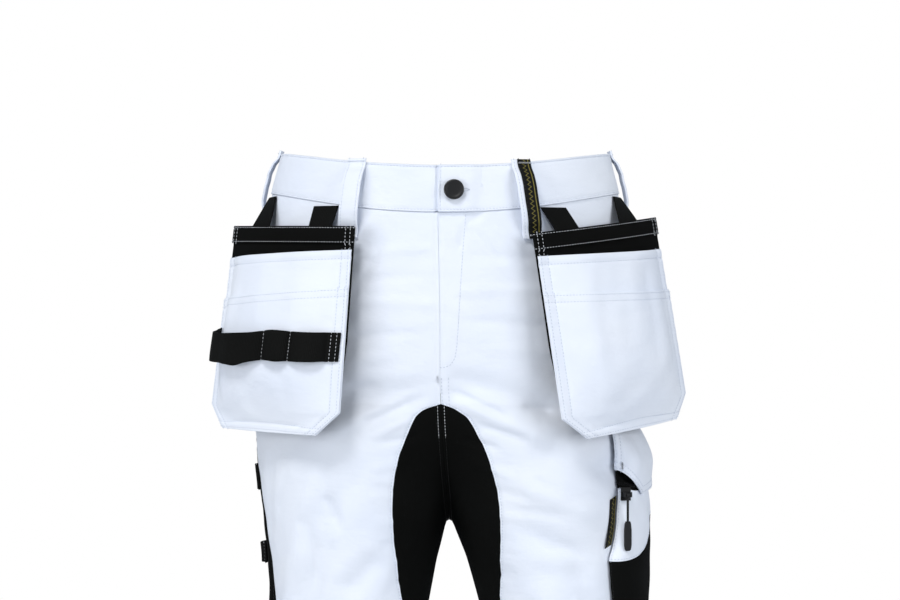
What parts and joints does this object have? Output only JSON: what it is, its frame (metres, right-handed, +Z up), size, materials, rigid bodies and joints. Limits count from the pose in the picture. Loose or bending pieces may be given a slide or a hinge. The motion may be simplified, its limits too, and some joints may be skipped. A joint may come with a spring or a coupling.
{
  "type": "carpenter trousers",
  "caption": "Light work trousers in a hollow worn form, with hanging holster pockets at the waist, a black stretch gusset, a zipped thigh pocket and a rule pocket.",
  "frame": {"origin": "middle of the waist opening, at the height of the front of the waistband, where the wearer's waist holds the trousers", "axes": "+Z up out of the waist, -Y to the wearer's front, +X to the wearer's left"},
  "size_m": [0.4456, 0.2805, 1.0717],
  "materials": {
    "white_twill": "matt cotton and polyester twill",
    "stretch": "matt four-way stretch cloth",
    "cordura": "matt coarse plain weave",
    "webbing": "matt ribbed webbing",
    "tape": "matt woven tape",
    "button": "satin moulded",
    "zip": "satin moulded"
  },
  "bodies": {
    "garment": {"front_left": "white_twill", "front_right": "white_twill", "back_left": "white_twill", "back_right": "white_twill", "gusset_left": "stretch", "gusset_right": "stretch", "waistband_left": "white_twill", "waistband_right": "white_twill", "belt_loop_front_right": "white_twill", "belt_loop_front_left": "white_twill", "belt_loop_side_right": "white_twill", "belt_loop_side_left": "white_twill", "belt_loop_back": "white_twill", "loop_tape": "tape", "waist_button": "button", "holster_back_left": "cordura", "holster_binding_left": "cordura", "holster_pouch_left": "white_twill", "holster_outer_pocket_left": "white_twill", "holster_strap_inner_left": "webbing", "holster_strap_outer_left": "webbing", "holster_back_right": "cordura", "holster_binding_right": "cordura", "holster_pouch_right": "white_twill", "holster_outer_pocket_right": "white_twill", "holster_strap_inner_right": "webbing", "holster_strap_outer_right": "webbing", "tool_band_right": "webbing", "thigh_pocket_left": "white_twill", "thigh_pocket_base_left": "cordura", "thigh_zip": "zip", "thigh_flap_left": "white_twill", "side_tag": "tape", "zip_slider": "zip", "rule_pocket_right": "cordura", "rule_loop_upper": "webbing", "rule_loop_lower": "webbing"},
    "zip_pull": {"zip_pull": "zip"}
  },
  "joints": [
    {"name": "pull_swing", "type": "hinge", "parent": "garment", "child": "zip_pull", "pos_m": [0.16651, -0.0812, -0.27855], "axis": [-0.9715, -0.2372, 0], "range_deg": [0, 110]}
  ]
}
